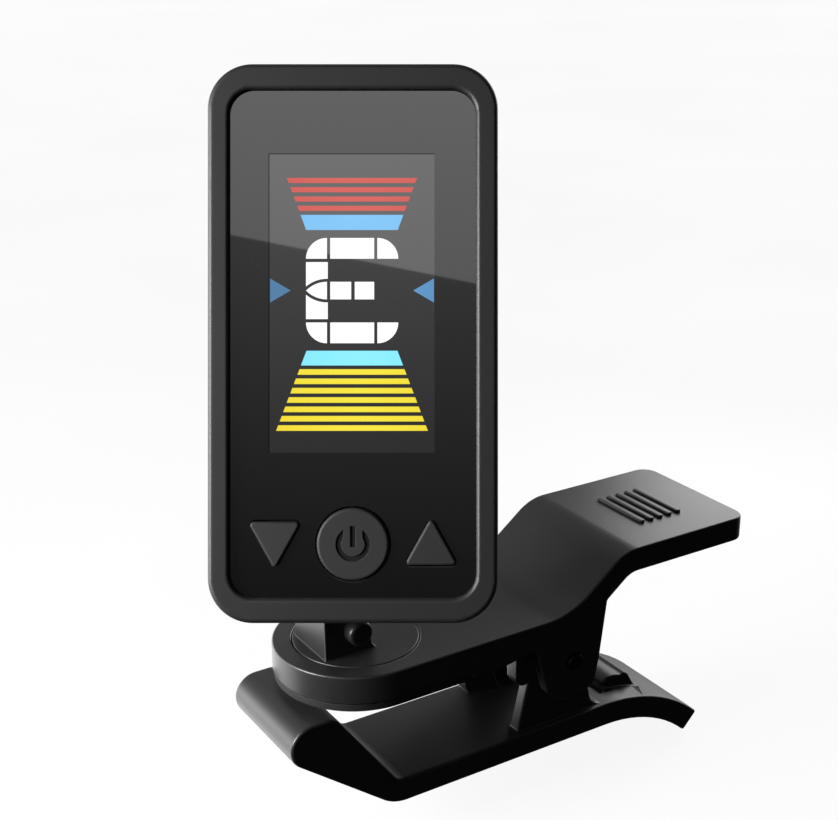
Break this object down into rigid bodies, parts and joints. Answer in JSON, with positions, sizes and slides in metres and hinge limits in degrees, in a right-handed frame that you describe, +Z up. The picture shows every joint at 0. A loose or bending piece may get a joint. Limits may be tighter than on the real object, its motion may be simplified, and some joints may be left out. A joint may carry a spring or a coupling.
{
  "type": "clip-on tuner",
  "caption": "Clip-on instrument tuner with a tall display head on a turntable, tilt fork and swivel stem, over a sprung two-jaw headstock clip.",
  "frame": {"origin": "centre of the upper jaw's grip pad face, on the turntable's axis, where the clip bears on an instrument's headstock", "axes": "+Z up, away from the headstock and along the turntable's axis; +X along the clip from its round front to its finger tab; +Y across the clip, away from the side that the display faces at rest"},
  "size_m": [0.067, 0.0357, 0.083],
  "materials": {
    "clip_plastic": "satin moulded black plastic with a fine spark texture",
    "case_plastic": "soft-touch matte black plastic",
    "button_rubber": "matte black silicone keys",
    "pad_rubber": "soft black rubber",
    "lens": "polished tinted acrylic window",
    "lcd_glass": "dark display glass",
    "light_guide": "milky acrylic",
    "led_body": "yellow phosphor lens",
    "zebra_rubber": "striped contact rubber",
    "board": "green solder mask",
    "chip": "matte epoxy",
    "can": "plated steel",
    "steel": "zinc-plated steel",
    "spring_steel": "oiled spring wire",
    "brass": "gold-coloured contact metal"
  },
  "bodies": {
    "clip": {"upper_jaw": "clip_plastic", "grip_pad": "pad_rubber", "hinge_pin": "steel", "torsion_spring": "spring_steel"},
    "lower_jaw": {"lower_jaw": "clip_plastic"},
    "turntable": {"turntable": "clip_plastic", "turntable_washer": "steel", "turntable_screw": "steel", "tilt_pin": "clip_plastic", "tilt_nut": "clip_plastic"},
    "knuckle": {"knuckle": "clip_plastic"},
    "head": {"swivel_keeper": "steel", "front_cover": "case_plastic", "rear_cover": "case_plastic", "display_lens": "lens", "lcd_panel": "lcd_glass", "light_guide": "light_guide", "backlight_leds": "led_body", "lcd_connector": "zebra_rubber", "main_board": "board", "controller_chip": "chip", "timing_crystal": "can", "key_switches": "can", "piezo_sensor": "brass", "coin_cell": "can", "cell_plus_clip": "brass", "cell_minus_clip": "brass", "cover_screws": "steel"},
    "battery_door": {"battery_door": "case_plastic"},
    "power_button": {"power_button": "button_rubber"},
    "up_button": {"up_button": "button_rubber"},
    "down_button": {"down_button": "button_rubber"}
  },
  "joints": [
    {"name": "jaw_open", "type": "hinge", "parent": "clip", "child": "lower_jaw", "pos_m": [0.0232, 0, -0.0019], "axis": [0, -1, 0], "range_deg": [0, 32], "stiffness_Nm_per_rad": 0.12, "springref_deg": -85.94, "deforming": ["torsion_spring"]},
    {"name": "turntable_turn", "type": "hinge", "parent": "clip", "child": "turntable", "pos_m": [0, 0, 0.0041], "axis": [0, 0, 1], "continuous": true},
    {"name": "head_tilt", "type": "hinge", "parent": "turntable", "child": "knuckle", "pos_m": [-0.002, 0, 0.00695], "axis": [0, 1, 0], "range_deg": [-12, 20]},
    {"name": "head_swivel", "type": "hinge", "parent": "knuckle", "child": "head", "pos_m": [0.0005, 0, 0.012], "axis": [0, 0, 1], "continuous": true},
    {"name": "power_press", "type": "slide", "parent": "head", "child": "power_button", "axis": [0.5038, 0.7939, -0.3404], "range_m": [0, 0.00025], "stiffness_N_per_m": 600, "springref_m": -0.0005},
    {"name": "up_press", "type": "slide", "parent": "head", "child": "up_button", "axis": [0.5038, 0.7939, -0.3404], "range_m": [0, 0.00025], "stiffness_N_per_m": 600, "springref_m": -0.0005},
    {"name": "down_press", "type": "slide", "parent": "head", "child": "down_button", "axis": [0.5038, 0.7939, -0.3404], "range_m": [0, 0.00025], "stiffness_N_per_m": 600, "springref_m": -0.0005},
    {"name": "battery_door_turn", "type": "hinge", "parent": "head", "child": "battery_door", "pos_m": [0.00289, 0.00376, 0.03828], "axis": [0.5038, 0.7939, -0.3404], "range_deg": [0, 60]}
  ]
}
